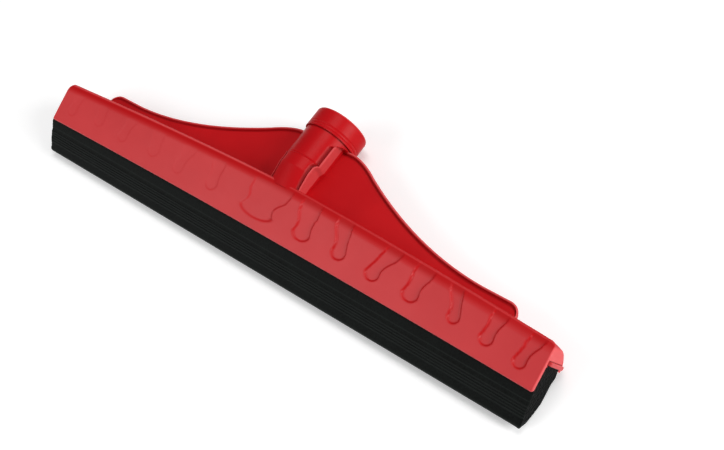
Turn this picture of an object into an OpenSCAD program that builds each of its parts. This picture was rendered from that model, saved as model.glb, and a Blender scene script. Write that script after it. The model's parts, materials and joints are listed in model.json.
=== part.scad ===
// Push squeegee head for wet floors: a moulded head with a pole socket, and a foam
// blade on a carrier strip that slides out of the head's channel for renewal.
//
// Everything is drawn in the head's own frame: X along the blade, Y back from the
// apron's outer face, Z up along the apron. resting() then lays the finished head on
// its back, so that the foam's rear corner and the collar stand on Z = 0.

/* [Head] */
// Length of the head along the blade
head_l = 450; // [350:10:550]
// Depth of the head, from the apron's face to the back wall's face
head_d = 26.7; // [26:0.1:30]
// Height of the apron at the middle of the head
crown_h = 40.5; // [39:0.5:44]
// How much lower the apron is at its two ends
crown_drop = 8.5; // [6:0.5:9]
// Rise of the apron's lower edge at the middle of the head
edge_bow = 2; // [0:0.5:4]
// Thickness of the apron
apron_t = 2; // [1.8:0.1:2.2]
// Thickness of the cover, the back wall and the end walls
shell_t = 1.8; // [1.4:0.1:2]
// Fall of the top cover towards the back, in degrees
cover_fall = 10.5; // [8:0.5:11]
// Slope of the rear shoulder, in degrees
shoulder_slope = 39; // [35:1:42]
// Height at which the rear shoulder meets the back wall, at the ends
shoulder_z = 22; // [21.8:0.2:24]
// Radius of the head's upper corners
top_corner_r = 6; // [4:0.5:10]
// Radius of the apron's lower corners
low_corner_r = 3; // [1:0.5:5]
// Number of seat ribs across the hollow
rib_count = 11; // [5:2:15]
// Thickness of a seat rib
rib_t = 1.6; // [1.2:0.2:2.4]

/* [Channel and carrier] */
// Height of the carrier strip's underside above the apron's lower corners
carrier_z = 17.9; // [17.5:0.1:18.2]
// Thickness of the carrier strip
carrier_t = 2.7; // [2.2:0.1:2.8]
// Running gap between the carrier strip and the head
slide_gap = 0.35; // [0.3:0.05:0.5]
// Overlap of the channel's ledge and lip under the carrier strip
hook_grip = 1; // [0.8:0.1:1.4]
// Thickness of the channel's ledge and lip
hook_t = 1.2; // [1:0.1:1.6]
// How far the rear lip stands out behind the back wall
lip_proud = 1.2; // [0.6:0.1:1.4]
// How far the carrier strip stands out at the open end
carrier_proud = 2; // [0:0.5:4]
// Thickness of the carrier's keel
keel_t = 2.4; // [1.6:0.2:4]
// Depth of the carrier's keel below the strip
keel_h = 10.4; // [6:0.2:12]
// Width of the foot along the keel's lower edge
keel_foot_w = 6; // [5:0.5:10]
// How far the keel stops short of both ends of the head
keel_short = 10; // [5:1:30]

/* [Foam blade] */
// Drop of the foam's tip below the apron's lower corners
tip_drop = 22.9; // [18:0.1:28]
// Distance of the foam's front tip corner behind the apron's face
tip_y = 10.1; // [7:0.1:12]
// Thickness of the foam's tip
tip_w = 6.3; // [5:0.1:8]
// Rise of the foam's tip from its front corner to its back corner
tip_rise = 4.5; // [1:0.1:6]
// Gap between the foam and the apron
foam_gap = 0.4; // [0.3:0.1:1]
// How far the foam's closed end stands out past the head
foam_proud = 2; // [0:0.5:4]
// Slant of the foam's closed end, from the apron's edge to the tip
foam_slant = 5.5; // [0:0.5:10]

/* [Web] */
// Distance from each end of the web to the head's end
web_inset = 35; // [25:1:60]
// Thickness of the web plate
web_t = 3; // [2:0.5:4]
// Thickness of the bead along the web's edge
bead_t = 5; // [4.5:0.5:7]
// Width of the bead along the web's edge
bead_w = 2.4; // [1.5:0.1:3]
// Height of the web beside the socket
web_h = 40.8; // [34:0.2:40.8]
// Height of the web where its shoulder turns into the long sweep
sweep_h = 32; // [26:0.5:34]
// Distance from the middle at which the long sweep starts
sweep_x = 48; // [42:1:60]
// Length of the low strip of web past each long sweep
web_tail = 25; // [15:1:40]
// Radius of the web's outer corners
web_corner_r = 8; // [4:0.5:10]

/* [Socket] */
// Backward lean of the socket from the apron, in degrees
socket_lean = 18.4; // [14:0.2:24]
// Distance of the socket's axis behind the apron's face, at the crown
socket_y = 17; // [16:0.1:20]
// Radius of the pole's hole
bore_r = 12.15; // [11:0.05:12.5]
// Depth of the pole's hole
bore_depth = 52; // [40:1:54]
// Depth of the cone that leads the pole in
lead_depth = 3; // [1:0.5:5]
// Radius of the socket's lower barrel
low_barrel_r = 20.2; // [19:0.1:20.8]
// Radius of the socket's upper barrel
barrel_r = 19.6; // [18:0.1:20]
// Half of the socket's width over its two flat flanks
flank_x = 15.2; // [14:0.1:17]
// Radius of the collar
collar_r = 20.9; // [20.8:0.1:24]
// Height of the step between the two barrels
step_h = 17; // [10:0.5:22]
// Height of the collar's lower edge
collar_h = 41; // [41:0.5:46]
// Height of the socket's mouth
mouth_h = 56.7; // [56:0.1:64]

/* [Hidden] */
$fn = 96;
half_l = head_l / 2;
crown_steps = 24;
crown_power = 1.5;
web_steps = 20;
shoulder_power = 1.6;
sweep_power = 1.9;
web_end_x = half_l - web_inset;
sweep_end_x = web_end_x - web_tail;
web_flat_x = barrel_r + 4.4;
root_h = -14;
socket_base = -8;
collar_edge = 0.8;
far = 400;
inner_y0 = apron_t;
inner_y1 = head_d - shell_t;
carrier_top = carrier_z + carrier_t;
seat_z = carrier_top + slide_gap;
hook_top = carrier_z - 0.3;
hook_bottom = hook_top - hook_t;
carrier_y0 = inner_y0 + slide_gap;
carrier_y1 = inner_y1 - slide_gap;
carrier_x0 = -half_l + shell_t + slide_gap;
carrier_x1 = half_l + carrier_proud;
ledge_y1 = carrier_y0 + hook_grip;
lip_y0 = carrier_y1 - hook_grip;
neck_z = hook_bottom - slide_gap;
neck_y0 = ledge_y1 + slide_gap;
neck_y1 = lip_y0 - slide_gap;
foam_y0 = inner_y0 + foam_gap;
foam_x0 = -half_l - foam_proud;
foam_back_y = head_d - 2.9;
foam_back_z = -5.4;
keel_y = (neck_y0 + neck_y1) / 2;
keel_foot_t = 2;
red = [0.75, 0.09, 0.11];
dark_red = [0.66, 0.07, 0.10];
black = [0.10, 0.11, 0.10];

// The lying angle: the steeper line from the foam's rear corner to the collar
rest_angle = max(back_angle(collar_h), back_angle(mouth_h - collar_edge));
near_y = floor_y(tip_y, -tip_drop);
far_y = floor_y(axis_y(mouth_h), axis_z(mouth_h)) + collar_r * abs(sin(socket_lean - rest_angle));
mid_y = (near_y + far_y) / 2;
floor_drop = sin(rest_angle) * foam_back_z - cos(rest_angle) * foam_back_y;

// A point's place along the floor once the head lies on its back
function floor_y(y, z) = sin(rest_angle) * y + cos(rest_angle) * z;

// The socket's axis at height s along it
function axis_y(s) = socket_y + s * sin(socket_lean);
function axis_z(s) = crown_h + s * cos(socket_lean);

// Angle of the line from the foam's rear corner to the back of the collar at height s
function back_angle(s) = atan2(
    axis_y(s) + collar_r * cos(socket_lean) - foam_back_y,
    axis_z(s) - collar_r * sin(socket_lean) - foam_back_z
);

// Height of the apron's upper edge, with its drop multiplied by gain
function crown(x, gain) = crown_h - crown_drop * gain * pow(abs(x) / half_l, crown_power);

// Height of the web's outer edge along the socket
function web_edge(x) =
    abs(x) <= web_flat_x ? web_h
    : abs(x) <= sweep_x
        ? web_h - (web_h - sweep_h) * pow((abs(x) - web_flat_x) / (sweep_x - web_flat_x), shoulder_power)
    : sweep_h * pow(max(0, sweep_end_x - abs(x)) / (sweep_end_x - sweep_x), sweep_power);

// Lays the head on its back, centred over the origin
module resting() {
    translate([0, -mid_y, -floor_drop])
        rotate([rest_angle - 90, 0, 0])
            children();
}

// Extrudes an outline drawn in X and Z from y0 back to y1
module along_y(y0, y1) {
    translate([0, y1, 0])
        rotate([90, 0, 0])
            linear_extrude(y1 - y0)
                children();
}

// Extrudes an outline drawn in Y and Z from x0 to x1
module along_x(x0, x1) {
    translate([x0, 0, 0])
        rotate([90, 0, 90])
            linear_extrude(x1 - x0)
                children();
}

// A block from one corner to the other
module block(low, high) {
    translate(low)
        cube(high - low);
}

// Turns the socket's own frame, with Z along its axis, into the head's frame
module socket_frame() {
    translate([0, socket_y, crown_h])
        rotate([-socket_lean, 0, 0])
            children();
}

// The area between the crown line and a level far below it
module crown_area(gain) {
    polygon(concat(
        [[-half_l, -60], [half_l, -60]],
        [for (i = [crown_steps : -1 : 0])
            let (x = -half_l + head_l * i / crown_steps)
            [x, crown(x, gain)]]
    ));
}

// The waste outside a round of radius r in the corner at x, z, towards +X and up or down
module corner_waste(x, z, r, up) {
    for (side = [0, 1])
        mirror([side, 0])
            translate([x - r, z - up * r])
                difference() {
                    translate([0, up > 0 ? 0 : -r - 2])
                        square([r + 1, r + 2]);
                    circle(r);
                }
}

// The head's front outline: bowed below, crowned above, round at its corners
module front_outline() {
    difference() {
        polygon(concat(
            [for (i = [0 : crown_steps])
                let (x = -half_l + head_l * i / crown_steps)
                [x, edge_bow * (1 - pow(x / half_l, 2))]],
            [for (i = [crown_steps : -1 : 0])
                let (x = -half_l + head_l * i / crown_steps)
                [x, crown(x, 1)]]
        ));
        corner_waste(half_l, crown(half_l, 1), top_corner_r, 1);
        corner_waste(half_l, 0, low_corner_r, -1);
    }
}

// The space under a crowned plane that falls back through height z at depth y
module cover_space(y, slope, z, inset) {
    gain = cos(slope);
    translate([0, y, z])
        rotate([-slope, 0, 0])
            translate([0, 0, -crown(half_l, gain) - inset])
                along_y(-far / 4, far / 4)
                    crown_area(gain);
}

// The head as a solid above z0, its top and ends drawn in by inset
module head_solid(inset, y0, y1, z0) {
    intersection() {
        block([-half_l + inset, y0, z0], [half_l - inset, y1, crown_h + 1]);
        cover_space(0, cover_fall, crown(half_l, 1), inset);
        cover_space(head_d, shoulder_slope, shoulder_z, inset);
    }
}

// The head's outer form, with its corners rounded
module head_outer(y0, y1, z0) {
    intersection() {
        head_solid(0, y0, y1, z0);
        along_y(y0, y1)
            front_outline();
    }
}

// The hollow inside the head, above the carrier's seat
module head_hollow() {
    head_solid(shell_t, inner_y0, inner_y1, seat_z);
}

// The apron: the long front wall that hangs in front of the foam
module apron() {
    color(red)
        resting()
            head_outer(0, apron_t, -1);
}

// The sloping cover and the rear shoulder over the hollow, between the end walls
module top_cover() {
    color(red)
        resting()
            difference() {
                intersection() {
                    head_outer(inner_y0, inner_y1, seat_z);
                    block([-half_l + shell_t, inner_y0, seat_z], [half_l - shell_t, inner_y1, far]);
                }
                head_hollow();
            }
}

// An end wall from x0, closed above z0
module end_wall(x0, z0) {
    intersection() {
        head_outer(inner_y0, inner_y1, z0);
        block([x0, inner_y0, z0], [x0 + shell_t, inner_y1, far]);
    }
}

// The closed end, which reaches down to stop the carrier
module end_wall_left() {
    color(red)
        resting()
            end_wall(-half_l, carrier_z + slide_gap);
}

// The open end, which leaves the carrier free to slide out
module end_wall_right() {
    color(red)
        resting()
            end_wall(half_l - shell_t, seat_z);
}

// The short wall behind the channel
module back_wall() {
    color(dark_red)
        resting()
            head_outer(inner_y1, head_d, hook_top);
}

// The lip that hooks under the carrier's back edge and stands out behind
module back_lip() {
    color(dark_red)
        resting()
            along_x(-half_l, half_l)
                polygon([
                    [lip_y0, hook_bottom],
                    [head_d + 0.4, hook_bottom - 0.2],
                    [head_d + lip_proud, hook_bottom + 0.4],
                    [head_d + lip_proud, hook_top - 0.2],
                    [head_d + lip_proud - 0.2, hook_top],
                    [lip_y0, hook_top]
                ]);
}

// The ledge inside the apron, under the carrier's front edge
module front_ledge() {
    color(dark_red)
        resting()
            block([-half_l, inner_y0, hook_bottom], [half_l, ledge_y1, hook_top]);
}

// The ribs across the hollow, whose lower edges seat the carrier
module seat_ribs() {
    pitch = head_l / (rib_count + 1);
    color(dark_red)
        resting()
            intersection() {
                head_hollow();
                for (i = [1 : rib_count])
                    translate([-half_l + i * pitch - rib_t / 2, inner_y0, seat_z])
                        cube([rib_t, inner_y1 - inner_y0, crown_h]);
            }
}

// The web's outline in the socket's frame, its curved edge lowered by drop
module web_outline(drop) {
    end_x = web_end_x - drop;
    difference() {
        polygon(concat(
            [[-end_x, root_h], [end_x, root_h], [end_x, -drop]],
            [for (i = [web_steps : -1 : 0])
                let (x = sweep_x + (sweep_end_x - sweep_x) * i / web_steps)
                [x, web_edge(x) - drop]],
            [for (i = [5 : -1 : 0])
                let (x = web_flat_x + (sweep_x - web_flat_x) * i / 6)
                [x, web_edge(x) - drop]],
            [for (i = [0 : 5])
                let (x = web_flat_x + (sweep_x - web_flat_x) * i / 6)
                [-x, web_edge(x) - drop]],
            [for (i = [0 : web_steps])
                let (x = sweep_x + (sweep_end_x - sweep_x) * i / web_steps)
                [-x, web_edge(x) - drop]],
            [[-end_x, -drop]]
        ));
        corner_waste(end_x, -drop, web_corner_r, 1);
    }
}

// A layer of the web, with the head's form and the socket taken away
module web_layer(thickness) {
    difference() {
        socket_frame()
            difference() {
                along_y(-thickness / 2, thickness / 2)
                    children();
                block([-flank_x, -far, -far], [flank_x, far, far]);
            }
        head_outer(-5, head_d + 5, -1);
        block([-half_l, head_d, -1], [half_l, far, crown(half_l, 1)]);
    }
}

// The gusset plate between the head and the socket
module web_plate() {
    color(dark_red)
        resting()
            web_layer(web_t)
                web_outline(bead_w);
}

// The raised bead along the web's outer edge
module web_bead() {
    color(red)
        resting()
            web_layer(bead_t)
                difference() {
                    web_outline(0);
                    web_outline(bead_w);
                }
}

// The barrels' outer form, flat on both flanks up to the collar
module barrel_form() {
    intersection() {
        union() {
            translate([0, 0, socket_base])
                cylinder(r = low_barrel_r, h = step_h - socket_base);
            cylinder(r = barrel_r, h = collar_h);
        }
        block([-flank_x, -far, -far], [flank_x, far, far]);
    }
    translate([0, 0, collar_h])
        cylinder(r = barrel_r, h = mouth_h - collar_h);
}

// The socket's two barrels, with the pole's hole and its lead-in
module socket_barrel() {
    color(red)
        resting()
            difference() {
                socket_frame()
                    difference() {
                        barrel_form();
                        translate([0, 0, mouth_h - bore_depth])
                            cylinder(r = bore_r, h = bore_depth + 1);
                        translate([0, 0, mouth_h - lead_depth])
                            cylinder(r1 = bore_r, r2 = bore_r + lead_depth / 2, h = lead_depth);
                    }
                head_outer(-5, head_d + 5, -1);
                block([-half_l, -far, -far], [half_l, 0, far]);
            }
}

// The collar: the thicker band around the mouth, with both its edges eased
module socket_collar() {
    color(red)
        resting()
            socket_frame()
                rotate_extrude()
                    polygon([
                        [barrel_r, collar_h],
                        [collar_r, collar_h],
                        [collar_r, mouth_h - collar_edge],
                        [collar_r - collar_edge, mouth_h],
                        [barrel_r, mouth_h]
                    ]);
}

// The carrier: the strip that slides in the channel
module carrier_strip() {
    color(red)
        resting()
            block([carrier_x0, carrier_y0, carrier_z], [carrier_x1, carrier_y1, carrier_top]);
}

// The keel's outline: a stem with a wider foot, buried in the foam
module keel_outline(top) {
    translate([keel_y - keel_t / 2, carrier_z - keel_h])
        square([keel_t, keel_h + top]);
    translate([keel_y - keel_foot_w / 2, carrier_z - keel_h])
        square([keel_foot_w, keel_foot_t]);
}

// The keel under the carrier, which holds the foam
module carrier_keel() {
    color(dark_red)
        resting()
            along_x(-half_l + keel_short, half_l - keel_short)
                keel_outline(0);
}

// The foam's section: a neck under the carrier, a thick block and a tapered tip
module foam_section() {
    polygon([
        [neck_y0, carrier_z],
        [neck_y0, neck_z],
        [foam_y0, neck_z],
        [foam_y0, -1],
        [tip_y, -tip_drop],
        [tip_y + tip_w, -tip_drop + tip_rise],
        [foam_back_y - 4, foam_back_z - 7.4],
        [foam_back_y, foam_back_z],
        [foam_back_y, 8.3],
        [foam_back_y + 1.9, 12.7],
        [foam_back_y + 0.5, neck_z],
        [neck_y1, neck_z],
        [neck_y1, carrier_z]
    ]);
}

// The foam blade, with the keel's pocket and its slanted closed end
module foam_blade() {
    color(black)
        resting()
            difference() {
                along_x(foam_x0, half_l)
                    foam_section();
                along_x(-half_l + keel_short, half_l - keel_short)
                    keel_outline(1);
                along_y(-1, head_d + 1)
                    polygon([
                        [foam_x0 - 1, -1],
                        [foam_x0, -1],
                        [foam_x0 + foam_slant, -tip_drop - 1],
                        [foam_x0 - 1, -tip_drop - 1]
                    ]);
            }
}

apron();
top_cover();
end_wall_left();
end_wall_right();
back_wall();
back_lip();
front_ledge();
seat_ribs();
web_plate();
web_bead();
socket_barrel();
socket_collar();
carrier_strip();
carrier_keel();
foam_blade();
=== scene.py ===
"""Looks for the push squeegee head: moulded red plastic, a carrier strip and a black foam blade.

Lengths here are millimetres in the head's own frame, as in the part's source: X along the
blade, Y back from the apron's face, Z up along the apron. place() turns them into the shared
frame, in metres. Heights "along the socket" are measured on the socket's axis, from the crown.
"""
import json
import math

import bmesh
import bpy
from mathutils import Matrix, Vector, noise


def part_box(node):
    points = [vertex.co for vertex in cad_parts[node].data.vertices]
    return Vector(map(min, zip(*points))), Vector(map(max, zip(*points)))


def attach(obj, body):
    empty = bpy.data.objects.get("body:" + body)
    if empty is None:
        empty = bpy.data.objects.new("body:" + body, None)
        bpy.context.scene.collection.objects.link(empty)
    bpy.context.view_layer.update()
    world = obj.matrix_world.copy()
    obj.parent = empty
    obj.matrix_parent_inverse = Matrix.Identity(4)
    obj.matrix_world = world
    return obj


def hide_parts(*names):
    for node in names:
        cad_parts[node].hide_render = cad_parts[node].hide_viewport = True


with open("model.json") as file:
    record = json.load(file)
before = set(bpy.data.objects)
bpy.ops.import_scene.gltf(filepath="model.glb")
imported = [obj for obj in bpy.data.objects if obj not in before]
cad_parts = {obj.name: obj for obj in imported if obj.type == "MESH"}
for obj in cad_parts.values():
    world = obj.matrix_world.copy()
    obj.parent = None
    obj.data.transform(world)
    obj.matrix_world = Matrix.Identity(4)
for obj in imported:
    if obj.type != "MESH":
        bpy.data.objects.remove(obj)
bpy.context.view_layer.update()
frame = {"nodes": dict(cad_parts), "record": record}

MM = 0.001

# ---------------------------------------------------------------- sizes shared with the part
# The head: depth, ridge, shell and the slopes of its cover
HALF_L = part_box("apron")[1][0] / MM
HEAD_D = 26.7
CROWN_H = 40.5
CROWN_DROP = 8.5
CROWN_POWER = 1.5
EDGE_BOW = 2.0
APRON_T = 2.0
SHELL_T = 1.8
COVER_FALL = math.tan(math.radians(10.5))
SHOULDER_FALL = math.tan(math.radians(39.0))
SHOULDER_Z = 22.0
# The refill: heights of the carrier, and how far the foam's tip hangs below the apron
CARRIER_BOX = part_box("carrier_strip")
CARRIER_Z = 17.9
CARRIER_TOP = 20.6
SLIDE_GAP = 0.35
FOAM_X0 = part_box("foam_blade")[0][0] / MM
TIP_DROP = 22.9
# The socket: its lean and place, with the heights along it of collar, mouth, hole and mount
SOCKET_LEAN = math.radians(18.4)
SOCKET_Y = 17.0
COLLAR_H = 41.0
MOUTH_H = 56.7
BORE_R = 12.15
BORE_FLOOR_H = 4.7
MOUNT_H = 29.2

# ---------------------------------------------------------------- the head's own frame
pole_mount = next(m for m in frame["record"]["mounts"] if m["name"] == "pole_socket")
REST_ANGLE = SOCKET_LEAN + math.atan2(pole_mount["axis"][2], pole_mount["axis"][1])
SIN_REST = math.sin(REST_ANGLE)
COS_REST = math.cos(REST_ANGLE)
mount_y = SOCKET_Y + MOUNT_H * math.sin(SOCKET_LEAN)
mount_z = CROWN_H + MOUNT_H * math.cos(SOCKET_LEAN)
SHIFT_Y = pole_mount["pos_m"][1] - (SIN_REST * mount_y + COS_REST * mount_z) * MM
SHIFT_Z = pole_mount["pos_m"][2] - (SIN_REST * mount_z - COS_REST * mount_y) * MM


def turned(x, y, z):
    """A direction in the head's frame, turned into the shared frame."""
    return Vector((x, SIN_REST * y + COS_REST * z, SIN_REST * z - COS_REST * y))


def place(x, y, z):
    """A point in the head's frame, in metres in the shared frame."""
    return turned(x, y, z) * MM + Vector((0.0, SHIFT_Y, SHIFT_Z))


def on_socket(x, y, s):
    """A point in the socket's frame, y behind its axis and s along it, in the head's frame."""
    return (
        x,
        SOCKET_Y + s * math.sin(SOCKET_LEAN) + y * math.cos(SOCKET_LEAN),
        CROWN_H + s * math.cos(SOCKET_LEAN) - y * math.sin(SOCKET_LEAN),
    )


def smooth(t):
    """0 below t = 0, 1 above t = 1, and a smooth step between."""
    t = min(1.0, max(0.0, t))
    return t * t * (3.0 - 2.0 * t)


def soft_min(a, b, width):
    """The smaller of a and b, with the change-over rounded across width."""
    h = max(0.0, width - abs(a - b)) / width
    return min(a, b) - h * h * width / 4.0


def line_at(distance, width):
    """1 on a line, and fading to nothing within about two widths of it."""
    return math.exp(-(distance / width) ** 2)


def spread(start, end, count):
    """count + 1 even steps from start to end."""
    return [start + (end - start) * i / count for i in range(count + 1)]


# ---------------------------------------------------------------- materials
# Noise scales, in cells per metre
CLOUD_SCALE = 26.0
FLOW_SCALE = 90.0
GRAIN_SCALE = 1600.0
MOTTLE_SCALE = 60.0
# Bump strengths, and their distances in metres
FLOW_BUMP = 0.22
FLOW_DEPTH = 0.0004
GRAIN_BUMP = 0.10
GRAIN_DEPTH = 0.00012
CELL_BUMP = 0.5
PORE_BUMP = 0.35
# Painted highlights are paler plastic: its colour times the gain, plus the lift
HIGHLIGHT_GAIN = 1.18
HIGHLIGHT_LIFT = 0.085
# Roughness goes this far below and above a plastic's own
ROUGH_BELOW = 0.05
ROUGH_ABOVE = 0.07
# Painted shade in creases: the sheen left there, and the dark red painted in
SHADE_HAZE = 0.16
CREASE_SHADE_RED = (0.200, 0.001, 0.002)
FOAM_ROUGH_LOW = 0.50
FOAM_ROUGH_HIGH = 0.72
# Grey of the painted highlights on the foam
FOAM_HIGHLIGHT_GREY = (0.030, 0.036, 0.033)
SPECK_DARK = (0.6, 0.6, 0.6)
SPECK_PALE = (1.5, 1.5, 1.5)
SPECK_FROM = 0.35
SPECK_TO = 0.68
BLACK = (0.0, 0.0, 0.0)
WHITE = (1.0, 1.0, 1.0)


def new_material(name):
    """An empty node material and its node tree, with a Principled shader."""
    mat = bpy.data.materials.new(name)
    mat.use_nodes = True
    return mat, mat.node_tree, mat.node_tree.nodes["Principled BSDF"]


def noise_node(tree, scale, detail):
    """Noise in object space, scale in cells per metre."""
    coords = tree.nodes.new("ShaderNodeTexCoord")
    node = tree.nodes.new("ShaderNodeTexNoise")
    node.inputs["Scale"].default_value = scale
    node.inputs["Detail"].default_value = detail
    tree.links.new(coords.outputs["Object"], node.inputs["Vector"])
    return node


def ramp_node(tree, factor, low, high, start=0.3, end=0.7):
    """A two-colour ramp over factor."""
    ramp = tree.nodes.new("ShaderNodeValToRGB")
    ramp.color_ramp.elements[0].position = start
    ramp.color_ramp.elements[1].position = end
    ramp.color_ramp.elements[0].color = (*low, 1.0)
    ramp.color_ramp.elements[1].color = (*high, 1.0)
    tree.links.new(factor, ramp.inputs["Fac"])
    return ramp


def layer_factor(tree, name):
    """The value, from 0 to 1, of the piece's layer of that name."""
    node = tree.nodes.new("ShaderNodeAttribute")
    node.attribute_name = name
    return node.outputs["Fac"]


def towards(tree, factor, ground, colour):
    """The ground colour, turned into colour where factor is 1."""
    mix = tree.nodes.new("ShaderNodeMix")
    mix.data_type = "RGBA"
    mix.inputs["B"].default_value = (*colour, 1.0)
    tree.links.new(factor, mix.inputs["Factor"])
    tree.links.new(ground, mix.inputs["A"])
    return mix.outputs["Result"]


def stretched(tree, value, low, high):
    """A value from 0 to 1, stretched to run from low to high."""
    node = tree.nodes.new("ShaderNodeMapRange")
    node.inputs["To Min"].default_value = low
    node.inputs["To Max"].default_value = high
    tree.links.new(value, node.inputs["Value"])
    return node.outputs["Result"]


def bump_chain(tree, shader, layers):
    """Bump from several noise layers: (height output, strength, distance in metres)."""
    last = None
    for height, strength, distance in layers:
        bump = tree.nodes.new("ShaderNodeBump")
        bump.inputs["Strength"].default_value = strength
        bump.inputs["Distance"].default_value = distance
        tree.links.new(height, bump.inputs["Height"])
        if last is not None:
            tree.links.new(last.outputs["Normal"], bump.inputs["Normal"])
        last = bump
    tree.links.new(last.outputs["Normal"], shader.inputs["Normal"])


def moulded_plastic(name, low, high, roughness, haze, deep=None):
    """Moulded polypropylene: clouded colour, uneven sheen, fine grain, paler painted highlights and
    painted shade.

    haze is the strength of the surface's white sheen. The last argument is the painted shade's colour,
    painted in where the piece's shade layer is 1, as in creases, and the sheen is weak there.
    """
    mat, tree, shader = new_material(name)
    clouds = noise_node(tree, CLOUD_SCALE, detail=4.0)
    grain = noise_node(tree, GRAIN_SCALE, detail=2.0)
    flow = noise_node(tree, FLOW_SCALE, detail=3.0)
    ground = ramp_node(tree, clouds.outputs["Fac"], low, high).outputs["Color"]
    shader.inputs["Specular IOR Level"].default_value = haze
    # Painted shade: where the piece's shade layer is 1, the colour turns to the painted-shade red and
    # the sheen drops
    if deep is not None:
        depth = layer_factor(tree, "deep")
        ground = towards(tree, depth, ground, deep)
        clear = stretched(tree, depth, haze, min(haze, SHADE_HAZE))
        tree.links.new(clear, shader.inputs["Specular IOR Level"])
    # Painted highlights: paler plastic where the piece's highlight layer is 1
    pale = [min(1.0, HIGHLIGHT_GAIN * channel + HIGHLIGHT_LIFT) for channel in high]
    highlight_ramp = ramp_node(tree, layer_factor(tree, "wear"), BLACK, WHITE, start=0.1, end=1.0)
    ground = towards(tree, highlight_ramp.outputs["Color"], ground, pale)
    tree.links.new(ground, shader.inputs["Base Color"])
    sheen = stretched(tree, flow.outputs["Fac"], roughness - ROUGH_BELOW, roughness + ROUGH_ABOVE)
    tree.links.new(sheen, shader.inputs["Roughness"])
    bump_chain(tree, shader, [
        (flow.outputs["Fac"], FLOW_BUMP, FLOW_DEPTH),
        (grain.outputs["Fac"], GRAIN_BUMP, GRAIN_DEPTH),
    ])
    return mat


def foam_rubber(name, low, high, cell_scale, depth, haze):
    """Closed-cell foam rubber: mottled black, dull, with grey painted highlights and cells of about 1 /
    cell_scale metres.

    depth is the depth of the cells, in metres, and haze the strength of the surface's sheen.
    """
    mat, tree, shader = new_material(name)
    mottle = noise_node(tree, MOTTLE_SCALE, detail=5.0)
    cells = noise_node(tree, cell_scale, detail=4.0)
    pores = tree.nodes.new("ShaderNodeTexVoronoi")
    coords = tree.nodes.new("ShaderNodeTexCoord")
    pores.inputs["Scale"].default_value = cell_scale
    tree.links.new(coords.outputs["Object"], pores.inputs["Vector"])
    base = ramp_node(tree, mottle.outputs["Fac"], low, high)
    speck = ramp_node(tree, cells.outputs["Fac"], SPECK_DARK, SPECK_PALE, SPECK_FROM, SPECK_TO)
    specked = tree.nodes.new("ShaderNodeMix")
    specked.data_type = "RGBA"
    specked.blend_type = "MULTIPLY"
    specked.inputs["Factor"].default_value = 1.0
    tree.links.new(base.outputs["Color"], specked.inputs["A"])
    tree.links.new(speck.outputs["Color"], specked.inputs["B"])
    # Painted highlight: greyer foam where the piece's highlight layer is 1
    highlit = towards(tree, layer_factor(tree, "wear"), specked.outputs["Result"], FOAM_HIGHLIGHT_GREY)
    tree.links.new(highlit, shader.inputs["Base Color"])
    shader.inputs["Specular IOR Level"].default_value = haze
    dull = stretched(tree, mottle.outputs["Fac"], FOAM_ROUGH_LOW, FOAM_ROUGH_HIGH)
    tree.links.new(dull, shader.inputs["Roughness"])
    bump_chain(tree, shader, [
        (cells.outputs["Fac"], CELL_BUMP, depth),
        (pores.outputs["Distance"], PORE_BUMP, depth),
    ])
    return mat


# The head's red; its last colour is the dark red of its painted shade
RED = moulded_plastic(
    "red_plastic", (0.560, 0.016, 0.020), (0.615, 0.023, 0.027),
    roughness=0.42, haze=0.5, deep=(0.470, 0.003, 0.005),
)
# The socket's red: the head's own plastic, painted darker and clearer as painted shade where it catches
# less sheen
BARREL_SHADED_RED = moulded_plastic(
    "barrel_shaded_plastic", (0.440, 0.003, 0.006), (0.500, 0.005, 0.008),
    roughness=0.34, haze=0.10, deep=CREASE_SHADE_RED,
)
# The web's red: the head's own plastic, painted darker and clearer as painted shade where it catches
# less sheen
SHADED_RED = moulded_plastic(
    "deep_red_plastic", (0.460, 0.002, 0.005), (0.520, 0.004, 0.007),
    roughness=0.45, haze=0.16, deep=CREASE_SHADE_RED,
)
STRIP_RED = moulded_plastic(
    "strip_plastic", (0.580, 0.040, 0.045), (0.640, 0.055, 0.060),
    roughness=0.45, haze=0.4,
)
FOAM = foam_rubber(
    "foam_skin", (0.0020, 0.0028, 0.0024), (0.0050, 0.0065, 0.0057),
    cell_scale=900.0, depth=0.0003, haze=0.11,
)
FOAM_CUT = foam_rubber(
    "foam_cut", (0.0010, 0.0012, 0.0011), (0.0050, 0.0056, 0.0052),
    cell_scale=520.0, depth=0.0016, haze=0.04,
)


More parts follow.
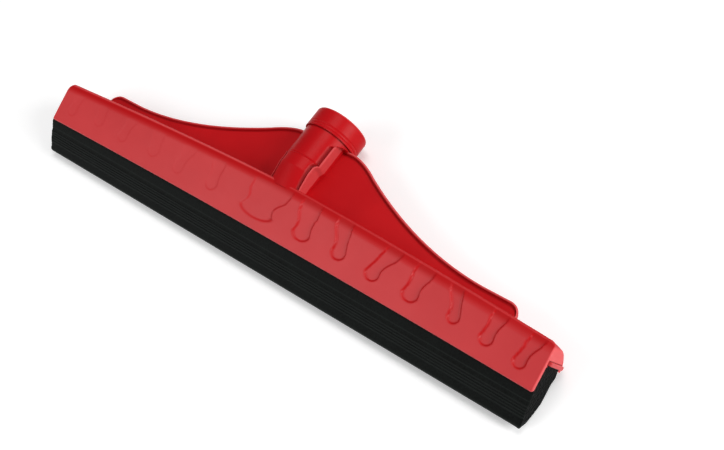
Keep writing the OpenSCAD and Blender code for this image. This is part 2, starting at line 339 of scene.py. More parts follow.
# ---------------------------------------------------------------- mesh helpers
def lofted(name, rings, material, cap_material=None, crease=32.0, **layers):
    """A closed solid lofted through rings of points in the head's frame, capped at both ends.

    Edges sharper than crease degrees stay hard. Each layer is a function (i, j, point) that
    gives a value from 0 to 1 at point j of ring i. The material reads it under the layer's
    name: the highlight layer is a paler painted highlight, and the shade layer is painted shade.
    """
    count = len(rings[0])
    verts = [place(*point) for ring in rings for point in ring]
    faces = []
    for i in range(len(rings) - 1):
        for j in range(count):
            k = (j + 1) % count
            a, b = i * count + j, i * count + k
            faces.append((a, b, b + count, a + count))
    caps = [tuple(reversed(range(count))), tuple(range((len(rings) - 1) * count, len(rings) * count))]
    mesh = bpy.data.meshes.new(name)
    mesh.from_pydata(verts, [], faces + caps)
    mesh.materials.append(material)
    if cap_material is not None:
        mesh.materials.append(cap_material)
        for face in mesh.polygons[-2:]:
            face.material_index = 1
    for face in mesh.polygons:
        face.use_smooth = True
    for layer_name, value_at in layers.items():
        layer = mesh.attributes.new(layer_name, "FLOAT", "POINT")
        values = [value_at(i, j, p) for i, ring in enumerate(rings) for j, p in enumerate(ring)]
        layer.data.foreach_set("value", values)
    mesh.validate()
    obj = bpy.data.objects.new(name, mesh)
    bpy.context.scene.collection.objects.link(obj)
    outward(mesh)
    mesh.set_sharp_from_angle(angle=math.radians(crease))
    return obj


def outward(mesh):
    """Turns every face of a closed mesh to point outwards."""
    shape = bmesh.new()
    shape.from_mesh(mesh)
    bmesh.ops.recalc_face_normals(shape, faces=shape.faces)
    shape.to_mesh(mesh)
    shape.free()


def finish_piece(obj, body, slot_name, *nodes):
    """Attaches a finished piece to its body and hides the CAD nodes that it replaces."""
    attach(obj, body)
    if nodes:
        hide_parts(*nodes)


# ---------------------------------------------------------------- the moulded head
RIDGE_R = 1.6
RIDGE_STEPS = 7
BACK_R = 1.0
BACK_STEPS = 3
BACK_SQUASH = 0.6
END_R = 0.9
FOOT_R = 0.5
CORNER_Z = 6.5
CORNER_X = 5.0
CORNER_POWER = 2.4
CORNER_BLEND = 0.8
SHOULDER_BLEND = 1.4
LOW_CORNER_R = 1.6
FRONT_STEPS = 64
COVER_STEPS = 22
WALL_STEPS = 4
WALL_FOOT_Z = CARRIER_Z + 0.2
# The back lip bulges below the back wall: how far behind the wall, and height
BACK_LIP = [(0.5, 17.7), (1.0, 17.4), (1.2, 16.9), (0.9, 16.4), (0.2, 16.2)]
HOOK_Y = 23.6
HOOK_Z = 16.4
SEAT_Z = 17.6
# Stations along the head, in from each end, and then evenly over the body
END_STATIONS = [0.0, 0.08, 0.25, 0.5, 0.9, 1.3, 1.79, 1.81, 2.3, 3.0, 4.0, 5.0]
BODY_IN = 6.0
BODY_STEPS = 584
# The front: a field, a band under the ridge that leans back, and runs of paint in relief
BAND_H = 7.5
BAND_BACK = 1.3
FIELD_IN = 0.08
RUN_IN = 1.3
RUN_EDGE = 1.0
RUN_LINE = 0.7
RUN_REACH = 14.0
RUN_RISE = 20.0
RUN_FOOT = 5.0
RUN_WAIST = 0.22
RUN_WAVES = 1.6
RUN_FLARE = 0.18
OFF_RUNS = -10.0
LEFT_RELIEF = 0.07
RELIEF_FROM = -75.0
RELIEF_OVER = 140.0
# Painted highlights and painted shade: strengths, and the widths of their lines
RIDGE_HIGHLIGHT_LEFT = 0.65
RIDGE_HIGHLIGHT_FALL = 0.35
RIDGE_HIGHLIGHT_FROM = -40.0
RIDGE_HIGHLIGHT_OVER = 60.0
RIDGE_IN = 1.0
RIDGE_LINE = 0.75
RIDGE_BACK = 5.0
FOOT_HIGHLIGHT = 0.5
FOOT_LINE = 0.6
FOOT_BACK = 1.6
END_HIGHLIGHT = 0.7
END_HIGHLIGHT_IN = 1.3
END_HIGHLIGHT_OVER = 0.9
# Painted shade: behind the ridge, on the band under it and round the runs
COVER_SHADE = 0.8
COVER_FROM_Y = 3.0
BAND_SHADE_TO = 3.0
BAND_SHADE_OVER = 5.5
RUN_SHADE = 0.95
# Each run of the front relief: middle at its top and at its foot, half width there, lowest point
RUNS = [
    (214.0, 209.6, 4.2, 8.0), (186.5, 184.6, 4.6, 10.2), (152.5, 159.4, 4.2, 12.2),
    (128.5, 126.2, 6.0, 10.7), (103.0, 95.4, 5.4, 10.6), (60.5, 66.0, 5.6, 11.8),
    (31.0, 33.4, 7.2, 10.8), (-4.0, -8.0, 14.6, 9.4), (-55.5, -53.4, 5.2, 11.4),
    (-84.0, -87.5, 5.0, 10.0), (-119.0, -116.0, 5.6, 12.0), (-147.0, -149.5, 4.6, 10.4),
    (-181.0, -178.5, 5.0, 11.8), (-207.0, -209.0, 4.4, 9.0),
]


def crown(x):
    """Height of the ridge."""
    return CROWN_H - CROWN_DROP * (abs(x) / HALF_L) ** CROWN_POWER


def outline_top(x):
    """Height of the head's outline, with its upper corners rounded."""
    into = max(0.0, abs(x) - (HALF_L - CORNER_X)) / CORNER_X
    return crown(x) - CORNER_Z * (1.0 - math.sqrt(max(0.0, 1.0 - min(1.0, into) ** CORNER_POWER)))


def outline_low(x):
    """Height of the apron's lower edge, with its corners rounded."""
    into = min(LOW_CORNER_R, max(0.0, abs(x) - (HALF_L - LOW_CORNER_R)))
    bow = EDGE_BOW * (1.0 - (x / HALF_L) ** 2)
    return bow + LOW_CORNER_R - math.sqrt(max(0.0, LOW_CORNER_R ** 2 - into ** 2))


def cover_z(x, y):
    """Height of the head's upper surface at depth y."""
    cover = crown(x) - y * COVER_FALL
    shoulder = SHOULDER_Z + crown(x) - crown(HALF_L) + (HEAD_D - y) * SHOULDER_FALL
    return soft_min(soft_min(cover, shoulder, SHOULDER_BLEND), outline_top(x), CORNER_BLEND)


def run_depth(x, z):
    """How far inside the nearest run of the front relief a point lies, in mm; negative outside."""
    best = OFF_RUNS
    for top_x, foot_x, half, low in RUNS:
        if abs(x - foot_x) > half + RUN_REACH:
            continue
        foot_z = low + min(half, RUN_FOOT)
        up = min(1.0, max(0.0, (z - foot_z) / RUN_RISE))
        middle = foot_x + (top_x - foot_x) * smooth(up)
        narrow = RUN_WAIST * math.sin(math.pi * min(1.0, up * RUN_WAVES))
        side = half * (1.0 - narrow + RUN_FLARE * up) - abs(x - middle)
        if z < foot_z:
            reach = math.hypot((x - foot_x) / half, (z - foot_z) / (foot_z - low))
            side = (1.0 - reach) * min(half, foot_z - low)
        best = max(best, side)
    return best


def relief_left(x):
    """How much of the front relief is left at x: it is shallow on the left half."""
    return LEFT_RELIEF + (1.0 - LEFT_RELIEF) * smooth((x - RELIEF_FROM) / RELIEF_OVER)


def front_y(x, z):
    """Depth of the front face: a field, sunken runs, and a band that leans back to the ridge."""
    below = crown(x) - z
    run = smooth(run_depth(x, z) / RUN_EDGE + 0.5)
    band = 1.0 - smooth(below / BAND_H)
    return FIELD_IN + max(RUN_IN * relief_left(x) * run, BAND_BACK * band)


def head_ring(x):
    """The head's section at x, as one closed loop."""
    into = max(0.0, abs(x) - (HALF_L - END_R))
    ease = END_R - math.sqrt(max(0.0, END_R ** 2 - into ** 2))
    low = outline_low(x)
    roof = CARRIER_TOP + SLIDE_GAP
    if x < -HALF_L + SHELL_T:
        roof = CARRIER_Z + SLIDE_GAP
    top = cover_z(x, 0.0) - ease
    ring = [(x, APRON_T, roof), (x, APRON_T, low + FOOT_R), (x, APRON_T - FOOT_R, low)]
    foot_y = front_y(x, low)
    ring.append((x, min(foot_y + FOOT_R, APRON_T - 2 * FOOT_R), low))
    for z in spread(low + FOOT_R, top - RIDGE_R, FRONT_STEPS):
        ring.append((x, front_y(x, z) + ease, z))
    lean = front_y(x, top - RIDGE_R)
    for i in range(1, RIDGE_STEPS):
        turn = math.radians(90.0 * i / RIDGE_STEPS)
        y = lean + RIDGE_R * (1.0 - math.cos(turn))
        ring.append((x, y + ease, top - RIDGE_R * (1.0 - math.sin(turn))))
    for y in spread(RIDGE_R + lean, HEAD_D - BACK_R, COVER_STEPS):
        ring.append((x, y + ease * (1.0 - y / HEAD_D), cover_z(x, y) - ease))
    back_top = cover_z(x, HEAD_D) - ease
    for i in range(1, BACK_STEPS + 1):
        turn = math.radians(90.0 * i / BACK_STEPS)
        y = HEAD_D - BACK_R * (1.0 - math.sin(turn))
        ring.append((x, y, back_top - BACK_R * (1.0 - math.cos(turn)) * BACK_SQUASH))
    for z in spread(back_top - BACK_R, WALL_FOOT_Z, WALL_STEPS):
        ring.append((x, HEAD_D, z))
    ring += [(x, HEAD_D + out, z) for out, z in BACK_LIP]
    ring += [(x, HOOK_Y, HOOK_Z), (x, HOOK_Y, SEAT_Z)]
    ring += [(x, HEAD_D - SHELL_T, SEAT_Z), (x, HEAD_D - SHELL_T, roof)]
    return ring


def head_stations():
    """Places along the head: dense over the body, and denser at the rounded ends."""
    left = [-HALF_L + end for end in END_STATIONS]
    right = [HALF_L - end for end in reversed(END_STATIONS)]
    return left + spread(-HALF_L + BODY_IN, HALF_L - BODY_IN, BODY_STEPS) + right


def head_wear(_i, _j, point):
    """Painted highlights: paler plastic on the ridge, on the apron's lower edge and round the ends."""
    x, y, z = point
    ridge = 0.0
    if y < RIDGE_BACK:
        highlit = RIDGE_HIGHLIGHT_LEFT - RIDGE_HIGHLIGHT_FALL * smooth((x - RIDGE_HIGHLIGHT_FROM) / RIDGE_HIGHLIGHT_OVER)
        ridge = highlit * line_at(z - crown(x) + RIDGE_IN, RIDGE_LINE)
    foot = 0.0
    if y < FOOT_BACK:
        foot = FOOT_HIGHLIGHT * line_at(z - outline_low(x), FOOT_LINE)
    end = END_HIGHLIGHT * smooth((abs(x) - HALF_L + END_HIGHLIGHT_IN) / END_HIGHLIGHT_OVER)
    return min(1.0, max(ridge, foot, end))


def head_deep(_i, _j, point):
    """Painted shade: deeper red behind the ridge, on the band under it and round the edges of the runs.
    """
    x, y, z = point
    if y > COVER_FROM_Y:
        return COVER_SHADE
    band = 1.0 - smooth((crown(x) - z - BAND_SHADE_TO) / BAND_SHADE_OVER)
    outline = line_at(run_depth(x, z), RUN_LINE)
    return max(band, RUN_SHADE * relief_left(x) * outline)


shell_rings = [head_ring(x) for x in head_stations()]
shell = lofted("head_shell", shell_rings, RED, crease=38.0, wear=head_wear, deep=head_deep)
finish_piece(
    shell, "head", "head_plastic",
    "apron", "top_cover", "end_wall_left", "end_wall_right", "back_wall", "back_lip",
)

# ---------------------------------------------------------------- the web
WEB_END_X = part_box("web_bead")[1][0] / MM
WEB_T = 1.3
BEAD_HALF = 2.5
BEAD_W = 2.4
BEAD_FOOT = 4.2
BEAD_SPAN = 6.0
WEB_GROOVE = 0.6
WEB_GROOVE_W = 1.6
WEB_TOP = 40.8
WEB_FLAT_X = 24.0
SHOULDER_POWER = 1.6
SWEEP_X = 48.0
SWEEP_H = 32.0
SWEEP_END_X = 165.0
SWEEP_POWER = 1.9
WEB_CORNER_R = 8.0
ROOT_FLARE = 2.6
ROOT_REACH = 5.0
ROOT_DROP = 3.4
ROOT_SINK = 3.5
WEB_START_X = 11.0
WEB_BODY_IN = 9.0
WEB_STEPS = 150
WEB_ENDS = (7, 5, 3.5, 2, 1, 0.4, 0.05)
PLATE_STEPS = 24
# Steps down from the web's edge, over its bead and the groove
BEAD_DOWN = [0.0, 0.04, 0.16, 0.35, 0.62, 0.95, 1.3, 1.65, 1.98, 2.25, 2.44, 2.6, 2.9, 3.4, BEAD_FOOT]
# Painted highlight along the bead's crest: how far down, and its width
CREST_DOWN = 0.8
CREST_LINE = 0.9
# Painted shade in the groove under the bead: how far down, its width and its strength
GROOVE_DOWN = 3.0
GROOVE_LINE = 0.8
WEB_GROOVE_SHADE = 0.8


def web_edge(x):
    """Height of the web's edge along the socket."""
    x = abs(x)
    if x <= WEB_FLAT_X:
        return WEB_TOP
    if x <= SWEEP_X:
        t = (x - WEB_FLAT_X) / (SWEEP_X - WEB_FLAT_X)
        return WEB_TOP - (WEB_TOP - SWEEP_H) * t ** SHOULDER_POWER
    to_go = max(0.0, SWEEP_END_X - x) / (SWEEP_END_X - SWEEP_X)
    into = min(WEB_CORNER_R, max(0.0, x - (WEB_END_X - WEB_CORNER_R)))
    corner = WEB_CORNER_R - math.sqrt(max(0.0, WEB_CORNER_R ** 2 - into ** 2))
    return SWEEP_H * to_go ** SWEEP_POWER - corner


def web_root(x):
    """Height along the socket at which the web leaves the head's cover."""
    return crown(x) - CROWN_H - ROOT_DROP


def web_half(below, above):
    """Half the web's thickness: its bead, the groove under it, the plate and the flared root."""
    if below < BEAD_W:
        across = (below - BEAD_W / 2.0) / (BEAD_W / 2.0)
        bead = BEAD_HALF * math.sqrt(max(0.0, 1.0 - across * across))
        return bead if below < BEAD_W / 2.0 else max(bead, WEB_T - WEB_GROOVE)
    groove = WEB_GROOVE * (1.0 - smooth((below - BEAD_W) / WEB_GROOVE_W))
    return WEB_T - groove + ROOT_FLARE * math.exp(-max(0.0, above) / ROOT_REACH)


def web_ring(x):
    """The web's section at x, as one closed loop up its front and down its back."""
    edge = web_edge(x)
    root = min(web_root(x), edge - 0.5)
    depth = edge - (root - ROOT_SINK)
    scale = min(1.0, depth / BEAD_SPAN)
    steps = [down * scale for down in BEAD_DOWN]
    steps += spread(BEAD_FOOT * scale, depth, PLATE_STEPS)[1:]
    front = []
    back = []
    for down in steps:
        half = web_half(down / scale, edge - down - root)
        front.append(on_socket(x, -half, edge - down))
        back.append(on_socket(x, half, edge - down))
    return list(reversed(front)) + back[1:]


def along_socket(point):
    """Height of a point along the socket."""
    y, z = point[1] - SOCKET_Y, point[2] - CROWN_H
    return z * math.cos(SOCKET_LEAN) + y * math.sin(SOCKET_LEAN)


def web_wear(_i, _j, point):
    """Painted highlight: paler plastic along the crest of the web's bead."""
    below = web_edge(point[0]) - along_socket(point)
    return line_at(below - CREST_DOWN, CREST_LINE)


def web_deep(_i, _j, point):
    """Painted shade: a dark line in the groove under the web's bead."""
    below = web_edge(point[0]) - along_socket(point)
    return WEB_GROOVE_SHADE * line_at(below - GROOVE_DOWN, GROOVE_LINE)


web_places = spread(WEB_START_X, WEB_END_X - WEB_BODY_IN, WEB_STEPS)
web_places += [WEB_END_X - end for end in WEB_ENDS]
for side, tag in ((-1.0, "left"), (1.0, "right")):
    rings = [web_ring(side * x) for x in web_places]
    web = lofted("web_" + tag, rings, SHADED_RED, crease=40.0, wear=web_wear, deep=web_deep)
    if side < 0:
        finish_piece(web, "head", "head_plastic", "web_plate", "web_bead")
    else:
        finish_piece(web, "head", "head_plastic")

# ---------------------------------------------------------------- the socket
LOW_R = 20.2
HIGH_R = 19.6
COLLAR_R = 20.9
STEP_H = 17.0
STEP_IN = 0.6
STEP_DIP = 0.25
STEP_DIP_H = 1.2
COLLAR_GROOVES = (42.6, 45.0)
COLLAR_GROOVE_IN = 0.30
COLLAR_GROOVE_W = 0.42
RIM_H = 2.2
RIM_IN = 1.2
RIM_GAP = 0.1
FLANK_LOW = 13.6
FLANK_HIGH = 15.3
FLANK_TOP = 38.6
FLANK_FLUSH = 9.0
FLANK_FLUSH_H = 1.6
FLANK_BLEND = 1.0
JOG_FROM = 13.0
JOG_H = 5.0
ARCH_DROP = 5.0
ARCH_HALF = 14.0
ARCH_LIMIT = 1.2
ARCH_POWER = 3
# The groove beside each flank, on the front half
GROOVE_IN = 1.5
GROOVE_W = 0.8
GROOVE_OFF = 1.7
GROOVE_FADE = 2.0
FRONT_IN = 0.3
SOCKET_FOOT = -8.0
BARREL_TOP = COLLAR_H - 0.02
BARREL_STEPS = 140
COLLAR_STEPS = 56
RIM_STEPS = 9
LEAD_R = BORE_R + 1.5
LEAD_H = 3.0
LEAD_EDGE = 0.4
LEAD_EASE = 0.1
BORE_CORNER = 0.6
ANGLES = 240
# Painted highlights and painted shade: strengths, and the widths of their lines
RIM_HIGHLIGHT = 0.6
RIM_LINE = 0.7
RIM_LINE_IN = 0.5
FLANK_HIGHLIGHT = 0.8
FLANK_LINE = 0.6
FLANK_LINE_IN = 0.3
FRONT_Y = -4.0
# Painted shade: in the groove beside each flank and under the collar
GROOVE_SHADE_OFF = 1.9
GROOVE_SHADE_LINE = 0.8
UNDER_COLLAR_SHADE = 0.7
UNDER_COLLAR_LINE = 0.5
UNDER_COLLAR_IN = 0.4


def barrel_radius(s):
    """Radius of the round faces at height s along the socket."""
    if s < STEP_H - STEP_IN:
        return LOW_R
    if s < STEP_H:
        return LOW_R - STEP_IN * smooth((s - STEP_H + STEP_IN) / STEP_IN)
    if s < COLLAR_H:
        return HIGH_R - STEP_DIP * (1.0 - smooth((s - STEP_H) / STEP_DIP_H))
    bulge = COLLAR_R
    for groove in COLLAR_GROOVES:
        bulge -= COLLAR_GROOVE_IN * line_at(s - groove, COLLAR_GROOVE_W)
    rim = max(0.0, s - (MOUTH_H - RIM_H)) / RIM_H
    return bulge - RIM_IN * (1.0 - math.sqrt(max(0.0, 1.0 - min(1.0, rim) ** 2)))


def flank_x(s, y):
    """Half width of the socket over its flat flanks, which end in a round arch."""
    jog = smooth((s - JOG_FROM) / JOG_H)
    flat = FLANK_LOW + (FLANK_HIGH - FLANK_LOW) * jog
    arch = FLANK_TOP - ARCH_DROP * min(ARCH_LIMIT, abs(y) / ARCH_HALF) ** ARCH_POWER
    return flat + FLANK_FLUSH * smooth((s - arch) / FLANK_FLUSH_H)


def socket_ring(s, radius, flanked=True):
    """A ring of the socket's outside at height s, flat on its flanks and flush with the apron."""
    ring = []
    flush = (SOCKET_Y + s * math.sin(SOCKET_LEAN) - FRONT_IN) / math.cos(SOCKET_LEAN)
    for i in range(ANGLES):
        turn = 2.0 * math.pi * i / ANGLES
        y = -radius * math.cos(turn)
        x = radius * math.sin(turn)
        if flanked:
            limit = flank_x(s, y)
            if y < 0.0:
                groove = line_at(abs(x) - limit + GROOVE_OFF, GROOVE_W)
                y *= min(radius, flush) / radius
                y += GROOVE_IN * groove * smooth((COLLAR_H - s) / GROOVE_FADE)
            x = math.copysign(soft_min(abs(x), limit, FLANK_BLEND), x)
        ring.append(on_socket(x, y, s))
    return ring


def socket_rings():
    """All rings of the socket: up its outside, over the rim, and down the pole's hole."""
    rim_from = MOUTH_H - RIM_H
    barrel = spread(SOCKET_FOOT, BARREL_TOP, BARREL_STEPS)
    collar = spread(COLLAR_H, rim_from - RIM_GAP, COLLAR_STEPS)
    rim = spread(rim_from, MOUTH_H, RIM_STEPS)
    rings = [socket_ring(s, barrel_radius(s)) for s in barrel]
    rings += [socket_ring(s, barrel_radius(s), False) for s in collar + rim]
    rings.append(socket_ring(MOUTH_H, LEAD_R + LEAD_EDGE, False))
    rings.append(socket_ring(MOUTH_H - LEAD_EDGE, LEAD_R - LEAD_EASE, False))
    rings.append(socket_ring(MOUTH_H - LEAD_H, BORE_R, False))
    rings.append(socket_ring(BORE_FLOOR_H + BORE_CORNER, BORE_R, False))
    rings.append(socket_ring(BORE_FLOOR_H, BORE_R - BORE_CORNER, False))
    return rings


def behind_axis(point):
    """How far a point lies behind the socket's axis."""
    y, z = point[1] - SOCKET_Y, point[2] - CROWN_H
    return y * math.cos(SOCKET_LEAN) - z * math.sin(SOCKET_LEAN)


def socket_wear(_i, _j, point):
    """Painted highlights: paler plastic on the collar's rim and along the edges of the flat flanks."""
    y = behind_axis(point)
    s = along_socket(point)
    rim = RIM_HIGHLIGHT * line_at(s - MOUTH_H + RIM_LINE_IN, RIM_LINE)
    edge = 0.0
    if s < FLANK_TOP and y < FRONT_Y:
        edge = FLANK_HIGHLIGHT * line_at(abs(point[0]) - flank_x(s, y) + FLANK_LINE_IN, FLANK_LINE)
    return max(rim, edge)


def socket_deep(_i, _j, point):
    """Painted shade: a dark line in the groove beside each flat flank, and one under the collar."""
    y = behind_axis(point)
    s = along_socket(point)
    line = 0.0
    if s < FLANK_TOP + 1.0 and y < FRONT_Y:
        line = line_at(abs(point[0]) - flank_x(s, y) + GROOVE_SHADE_OFF, GROOVE_SHADE_LINE)
    under = UNDER_COLLAR_SHADE * line_at(s - COLLAR_H + UNDER_COLLAR_IN, UNDER_COLLAR_LINE)
    return max(line, under)


socket = lofted(
    "pole_socket", socket_rings(), BARREL_SHADED_RED, crease=30.0, wear=socket_wear, deep=socket_deep,
)
finish_piece(socket, "head", "head_plastic", "socket_barrel", "socket_collar")

# ---------------------------------------------------------------- the carrier strip
CARRIER_FRONT = 2.35
CARRIER_BACK = 24.55
CARRIER_EDGE = 0.5
CARRIER_LIP = 1.2
CARRIER_LIP_TOP = 1.5
CARRIER_FLAT = 1.0
CARRIER_EASE = 0.3
CARRIER_CLEAR = 0.02
CARRIER_BODY_IN = 5.0
CARRIER_STEPS = 40


def carrier_ring(x, inset):
    """The strip's section, with its corners eased and its outline drawn in by inset."""
    y0, y1 = CARRIER_FRONT + inset, CARRIER_BACK - inset
    z0, z1 = CARRIER_Z + CARRIER_CLEAR + inset, CARRIER_TOP - inset
    r = CARRIER_EDGE
    return [
        (x, y0 + r, z0), (x, y0, z0 + r), (x, y0, z0 + CARRIER_LIP), (x, y0 + r, z0 + CARRIER_LIP_TOP),
        (x, y0 + r, z1 - r), (x, y0 + 2.0 * r, z1), (x, y1 - r, z1), (x, y1, z1 - r),
        (x, y1, z0 + r), (x, y1 - r, z0), (x, y1 - r - CARRIER_FLAT, z0), (x, y0 + r + CARRIER_FLAT, z0),
    ]


carrier_from = CARRIER_BOX[0][0] / MM
carrier_to = CARRIER_BOX[1][0] / MM
carrier_body = spread(carrier_from + CARRIER_BODY_IN, carrier_to - CARRIER_BODY_IN, CARRIER_STEPS)
carrier_places = [(carrier_from, CARRIER_EASE), (carrier_from + CARRIER_EASE, 0.0)]
carrier_places += [(x, 0.0) for x in carrier_body]
carrier_places += [(carrier_to - CARRIER_EASE, 0.0), (carrier_to, CARRIER_EASE)]
carrier = lofted("carrier", [carrier_ring(x, inset) for x, inset in carrier_places], STRIP_RED)
finish_piece(carrier, "refill", "carrier_plastic", "carrier_strip")

# ---------------------------------------------------------------- the foam blade
FOAM_SLANT = 5.5
FACE_TOP = (2.4, -1.0)
FACE_TIP = (10.1, -22.5)
FACE_FIRST = 5
FACE_STEPS = 80
# The ribs lie on this share of the slanted face
RIB_FROM = 0.34
RIB_TO = 0.74
RIBS = 5
RIB_OUT = 0.5
RIB_ROUND = 0.7
# (y, z) down the front above the slanted face, and back up from the tip
FOAM_FRONT = [(3.6, 17.9), (3.6, 16.1), (2.8, 16.05), (2.4, 15.6), (2.4, 8.0), FACE_TOP]
FOAM_BACK = [
    (10.5, -22.8), (11.1, -22.6), (15.8, -18.9), (16.7, -18.3), (19.6, -13.2), (20.0, -12.5),
    (23.4, -6.1), (23.7, -5.4), (23.8, -4.6), (23.8, 8.0), (24.2, 9.4), (25.5, 12.3),
    (25.6, 12.9), (24.5, 15.6), (24.1, 16.05), (23.3, 16.1), (23.3, 17.9),
]
FOAM_MIDDLE = (13.0, 0.0)
FOAM_STEPS = 220
# Shares of the foam's length, close together at each end
FOAM_START = [0.0, 0.0006, 0.0018]
FOAM_BODY = (0.004, 0.996)
FOAM_END = [0.9982, 0.9994, 1.0]
EASE_IN = 0.5
EASE_OVER = 0.8
EASE_NEAR = 6.0
RAGGED = 0.45
RAGGED_OVER = 2.5
RAGGED_ACROSS = 0.9
RAGGED_ALONG = 0.7
RAGGED_ARM = 10.0
# Painted highlights on the foam: on the rib crests, along the tip and on the fold above the ribs
RIB_HIGHLIGHT = 0.35
TIP_HIGHLIGHT = 0.8
TIP_LINE = 0.03
FOLD_AT = 0.22
FOLD_HIGHLIGHT = 0.4
FOLD_LINE = 0.012


def rib_wave(t):
    """0 between the ribs and 1 on their crests, at share t of the way down the slanted face."""
    if not RIB_FROM < t < RIB_TO:
        return 0.0
    return abs(math.sin(math.pi * ((t - RIB_FROM) / (RIB_TO - RIB_FROM) * RIBS)))


def foam_section():
    """The foam's section: (y, z) points, with longitudinal ribs on the slanted front face."""
    dy = FACE_TIP[0] - FACE_TOP[0]
    dz = FACE_TIP[1] - FACE_TOP[1]
    length = math.hypot(dy, dz)
    face = []
    for i in range(1, FACE_STEPS + 1):
        t = i / FACE_STEPS
        rib = RIB_OUT * rib_wave(t) ** RIB_ROUND
        face.append((FACE_TOP[0] + dy * t + dz / length * rib, FACE_TOP[1] + dz * t - dy / length * rib))
    return FOAM_FRONT + face + FOAM_BACK


def foam_rings():
    """The foam's rings, from its slanted closed end to its square open end."""
    section = foam_section()
    rings = []
    for t in FOAM_START + spread(*FOAM_BODY, FOAM_STEPS) + FOAM_END:
        ring = []
        edge = min(t, 1.0 - t) * (2.0 * HALF_L)
        ease = EASE_IN * (1.0 - min(1.0, edge / EASE_OVER)) ** 2
        torn = RAGGED * (1.0 - min(1.0, edge / RAGGED_OVER)) / RAGGED_ARM
        for y, z in section:
            start = FOAM_X0 + FOAM_SLANT * max(0.0, -z) / TIP_DROP
            x = start + (HALF_L - start) * t
            in_y, in_z = FOAM_MIDDLE[0] - y, FOAM_MIDDLE[1] - z
            cell = Vector((RAGGED_ACROSS * y, RAGGED_ACROSS * z, RAGGED_ALONG * x))
            pull = ease / max(EASE_NEAR, math.hypot(in_y, in_z)) + torn * noise.noise(cell)
            ring.append((x, y + in_y * pull, z + in_z * pull))
        rings.append(ring)
    return rings


def foam_wear(_i, j, _point):
    """Painted highlights: greyer foam on the crests of the ribs, on the fold above them and along the
    tip.
    """
    t = (j - FACE_FIRST) / FACE_STEPS
    rib = RIB_HIGHLIGHT * rib_wave(t) ** 4
    tip = TIP_HIGHLIGHT * line_at(t - 1.0, TIP_LINE)
    fold = FOLD_HIGHLIGHT * line_at(t - FOLD_AT, FOLD_LINE)
    return max(rib, tip, fold)


foam = lofted("foam", foam_rings(), FOAM, FOAM_CUT, crease=30.0, wear=foam_wear)
finish_piece(foam, "refill", "foam", "foam_blade")

# ---------------------------------------------------------------- carried-over CAD nodes
# The ledge and the ribs take the head's red painted darker, as painted shade
CARRIED_OVER = {"front_ledge": SHADED_RED, "seat_ribs": SHADED_RED, "carrier_keel": STRIP_RED}
for node_name, material in CARRIED_OVER.items():
    node = frame["nodes"][node_name]
    node.data.materials.clear()
    node.data.materials.append(material)

# ---------------------------------------------------------------- the floor and the light
FLOOR_SIZE = 12.0
FLOOR_WHITE = (0.9, 0.9, 0.9, 1.0)
FLOOR_GLOW = 0.25
SURROUND = 0.20
# Each lamp: name, place, and side in metres, and power in watts
LAMPS = [
    ("side_light", (1.8, 0.5, 0.8), 1.1, 30.0),
    ("sheen_light", (-0.75, -0.95, 1.0), 1.1, 9.0),
    ("top_light", (0.15, 0.6, 1.9), 1.0, 13.0),
]


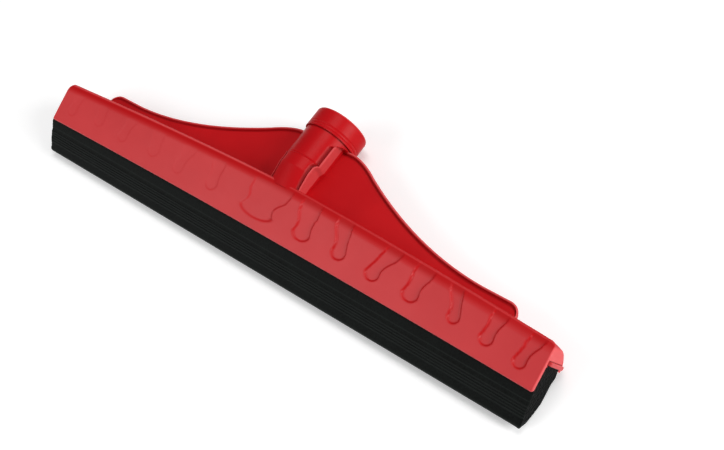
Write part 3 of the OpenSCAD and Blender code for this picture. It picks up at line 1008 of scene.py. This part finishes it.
def white_floor():
    """A wide white floor that keeps the object's shadow and clears to white around it."""
    mesh = bpy.data.meshes.new("floor")
    half = FLOOR_SIZE / 2.0
    corners = [(-half, -half, 0.0), (half, -half, 0.0), (half, half, 0.0), (-half, half, 0.0)]
    mesh.from_pydata(corners, [], [(0, 1, 2, 3)])
    obj = bpy.data.objects.new("floor", mesh)
    bpy.context.scene.collection.objects.link(obj)
    mat, tree, shader = new_material("floor_white")
    shader.inputs["Base Color"].default_value = FLOOR_WHITE
    shader.inputs["Roughness"].default_value = 0.9
    shader.inputs["Specular IOR Level"].default_value = 0.0
    path = tree.nodes.new("ShaderNodeLightPath")
    glow = tree.nodes.new("ShaderNodeEmission")
    add = tree.nodes.new("ShaderNodeAddShader")
    scale = tree.nodes.new("ShaderNodeMath")
    scale.operation = "MULTIPLY"
    scale.inputs[1].default_value = FLOOR_GLOW
    tree.links.new(path.outputs["Is Camera Ray"], scale.inputs[0])
    tree.links.new(scale.outputs["Value"], glow.inputs["Strength"])
    tree.links.new(shader.outputs["BSDF"], add.inputs[0])
    tree.links.new(glow.outputs["Emission"], add.inputs[1])
    tree.links.new(add.outputs["Shader"], tree.nodes["Material Output"].inputs["Surface"])
    mesh.materials.append(mat)


def softbox(name, position, size, power):
    """A square soft light aimed at the object's middle."""
    data = bpy.data.lights.new(name, "AREA")
    data.shape = "SQUARE"
    data.size = size
    data.energy = power
    lamp = bpy.data.objects.new(name, data)
    bpy.context.scene.collection.objects.link(lamp)
    lamp.location = position
    aim = -Vector(position)
    lamp.rotation_euler = aim.to_track_quat("-Z", "Y").to_euler()


def studio_light():
    """A white surround and three soft lights, the strongest beyond the open end."""
    world = bpy.data.worlds.new("studio")
    bpy.context.scene.world = world
    world.use_nodes = True
    tree = world.node_tree
    ground = tree.nodes["Background"]
    ground.inputs["Color"].default_value = (1.0, 1.0, 1.0, 1.0)
    ground.inputs["Strength"].default_value = SURROUND
    for name, position, size, power in LAMPS:
        softbox(name, position, size, power)


white_floor()
studio_light()

# ---------------------------------------------------------------- the camera
CAMERA_AT = (433.8, -600.2, 47.6)
CAMERA_RIGHT = (0.7576, 0.4622, 0.4608)
CAMERA_DOWN = (0.4001, 0.2289, -0.8874)
LENS_MM = 54.0
SENSOR_MM = 36.0
CLIP_START = 0.01


def photo_camera():
    """The camera at the photograph's viewing angle, placed in the head's frame."""
    data = bpy.data.cameras.new("camera")
    data.lens = LENS_MM
    data.sensor_width = SENSOR_MM
    data.clip_start = CLIP_START
    camera = bpy.data.objects.new("camera", data)
    bpy.context.scene.collection.objects.link(camera)
    right = turned(*CAMERA_RIGHT).normalized()
    up = -turned(*CAMERA_DOWN).normalized()
    back = right.cross(up).normalized()
    up = back.cross(right)
    camera.matrix_world = Matrix((
        (right.x, up.x, back.x, 0.0),
        (right.y, up.y, back.y, 0.0),
        (right.z, up.z, back.z, 0.0),
        (0.0, 0.0, 0.0, 1.0),
    ))
    camera.location = place(*CAMERA_AT)
    bpy.context.scene.camera = camera


photo_camera()
bpy.context.scene.view_settings.view_transform = "Standard"
